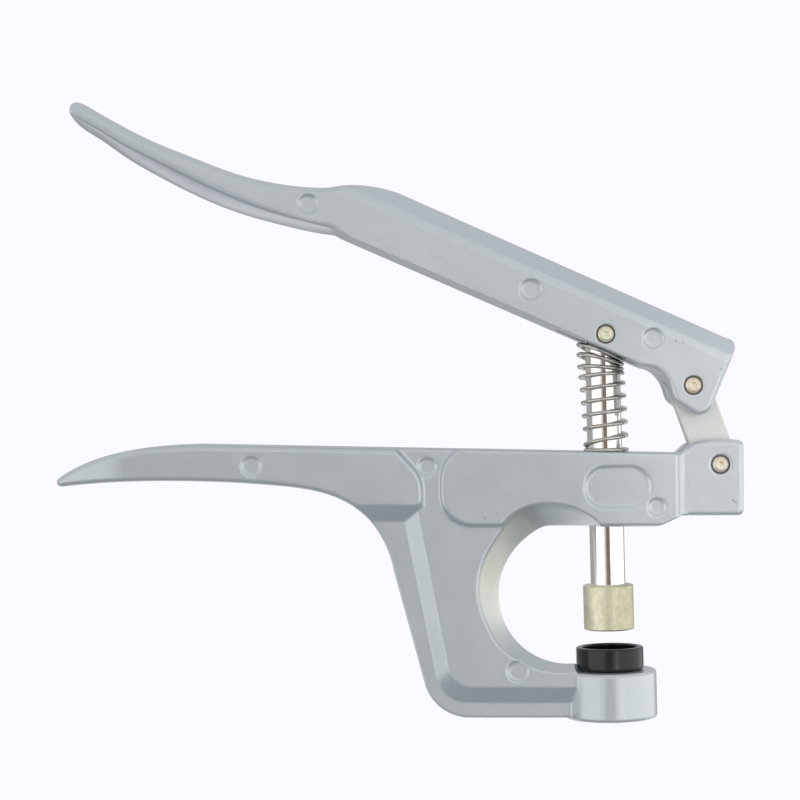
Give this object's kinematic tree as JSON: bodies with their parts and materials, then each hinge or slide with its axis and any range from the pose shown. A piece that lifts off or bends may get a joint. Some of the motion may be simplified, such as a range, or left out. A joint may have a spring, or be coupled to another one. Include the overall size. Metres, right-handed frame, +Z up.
{
  "type": "snap setter pliers",
  "caption": "Hand pliers for setting snap fasteners: a C-frame with a lower grip, an upper lever, a toggle link and a sprung plunger that closes one die on another.",
  "frame": {"origin": "on the plunger's axis, at the flat underside of the foot below the lower die", "axes": "+Z up along the plunger, +X from the grips towards the hinge end, Y across the thickness; symmetric about Y = 0"},
  "size_m": [0.1974, 0.0266, 0.1806],
  "materials": {
    "cast_grey": "satin",
    "link_steel": "satin",
    "pin_zinc": "satin",
    "rod_nickel": "polished",
    "spring_nickel": "gloss",
    "die_zinc": "satin",
    "cup_black": "gloss",
    "pad_red": "matte",
    "screw_steel": "satin"
  },
  "bodies": {
    "frame": {"frame": "cast_grey", "frame_link_pin": "pin_zinc", "return_spring": "spring_nickel", "lower_die_cup": "cup_black", "die_cushion": "pad_red", "cup_screw": "screw_steel"},
    "link": {"link": "link_steel"},
    "handle": {"handle": "cast_grey", "handle_link_pin": "pin_zinc", "plunger_pin": "pin_zinc"},
    "plunger": {"plunger": "rod_nickel", "upper_die": "die_zinc"}
  },
  "joints": [
    {"name": "link_swing", "type": "hinge", "parent": "frame", "child": "link", "pos_m": [0.0323, 0, 0.0727], "axis": [0, -1, 0], "range_deg": [-9.4, 0]},
    {"name": "handle_squeeze", "type": "hinge", "parent": "link", "child": "handle", "pos_m": [0.0246, 0, 0.0955], "axis": [0, -1, 0], "range_deg": [0, 27.75]},
    {"name": "plunger_slide", "type": "slide", "parent": "frame", "child": "plunger", "axis": [0, 0, -1], "range_m": [0, 0.0075], "stiffness_N_per_m": 1100, "springref_m": -0.012, "deforming": ["return_spring"]}
  ],
  "couplings": [
    {"joint": "link_swing", "follows": "handle_squeeze", "ratio": -0.33652},
    {"joint": "plunger_slide", "follows": "handle_squeeze", "m_per_rad": 0.015437}
  ]
}
